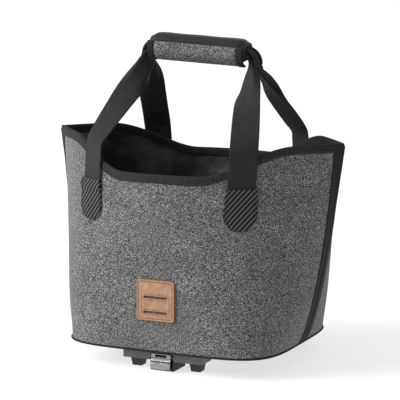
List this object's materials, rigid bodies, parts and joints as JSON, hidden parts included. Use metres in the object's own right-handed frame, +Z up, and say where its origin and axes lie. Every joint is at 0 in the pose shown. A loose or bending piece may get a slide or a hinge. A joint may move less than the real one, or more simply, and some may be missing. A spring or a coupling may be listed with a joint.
{
  "type": "bicycle basket bag",
  "caption": "Soft open-top bicycle basket bag with two webbing handles joined by a padded grip, on a quick-release rack adapter with a spring-loaded lever.",
  "frame": {"origin": "under the middle of the object, on the ground that the adapter's feet and hooks stand on", "axes": "+X along the mouth from the left seam to the right seam, -Y towards the front with the lever, +Z up"},
  "size_m": [0.4492, 0.2852, 0.4668],
  "materials": {
    "melange_cloth": "matte woven",
    "coated_cloth": "satin coated",
    "base_cloth": "matte coated",
    "webbing": "woven webbing",
    "striped_patch": "embossed stripes",
    "tan_leather": "satin",
    "pad_cloth": "matte",
    "hook_and_loop": "matte pile",
    "black_plastic": "moulded",
    "board": "matte",
    "steel": "brushed"
  },
  "bodies": {
    "bag": {"adapter_plate": "black_plastic", "adapter_screws": "steel", "back_panel": "melange_cloth", "base_board": "board", "base_panel": "base_cloth", "board_inserts": "steel", "bottom_piping": "base_cloth", "front_beam": "black_plastic", "front_foot_left": "black_plastic", "front_foot_right": "black_plastic", "front_panel": "melange_cloth", "inner_pocket": "coated_cloth", "latch_housing": "black_plastic", "lever_pin": "steel", "lever_spring": "steel", "light_holder_patch": "tan_leather", "lining": "coated_cloth", "pocket_hem": "base_cloth", "rear_hook_left": "black_plastic", "rear_hook_right": "black_plastic", "rim_binding_back": "coated_cloth", "rim_binding_front": "coated_cloth", "seam_strip_left": "coated_cloth", "seam_strip_right": "coated_cloth", "sewn_strap_back_left": "webbing", "sewn_strap_back_right": "webbing", "sewn_strap_front_left": "webbing", "sewn_strap_front_right": "webbing", "side_band_left": "base_cloth", "side_band_right": "base_cloth", "strap_leg_back_left": "webbing", "strap_leg_back_right": "webbing", "strap_leg_front_left": "webbing", "strap_leg_front_right": "webbing", "strap_patch_back_left": "striped_patch", "strap_patch_back_right": "striped_patch", "strap_patch_front_left": "striped_patch", "strap_patch_front_right": "striped_patch"},
    "grip": {"grip_pad": "pad_cloth", "strap_middle_front": "webbing", "strap_middle_back": "webbing", "hook_tape": "hook_and_loop"},
    "flap": {"grip_flap": "melange_cloth", "flap_binding_left": "base_cloth", "flap_binding_right": "base_cloth", "loop_tape": "hook_and_loop"},
    "lever": {"release_lever": "steel"},
    "bolt": {"latch_bolt": "black_plastic"}
  },
  "joints": [
    {"name": "handle_drop", "type": "slide", "parent": "bag", "child": "grip", "axis": [0, 0, -1], "range_m": [0, 0.09], "deforming": ["strap_leg_back_left", "strap_leg_back_right", "strap_leg_front_left", "strap_leg_front_right"]},
    {"name": "flap_fold", "type": "hinge", "parent": "grip", "child": "flap", "pos_m": [0.0022, -0.006, 0.42612], "axis": [0.9993, 0, -0.0384], "range_deg": [0, 110]},
    {"name": "lever_hinge", "type": "hinge", "parent": "bag", "child": "lever", "pos_m": [0, -0.123, 0.0195], "axis": [-1, 0, 0], "range_deg": [0, 25], "stiffness_Nm_per_rad": 0.3},
    {"name": "bolt_slide", "type": "slide", "parent": "bag", "child": "bolt", "axis": [0, -1, 0], "range_m": [0, 0.0052]}
  ],
  "couplings": [
    {"joint": "bolt_slide", "follows": "lever_hinge", "m_per_rad": 0.0117}
  ]
}
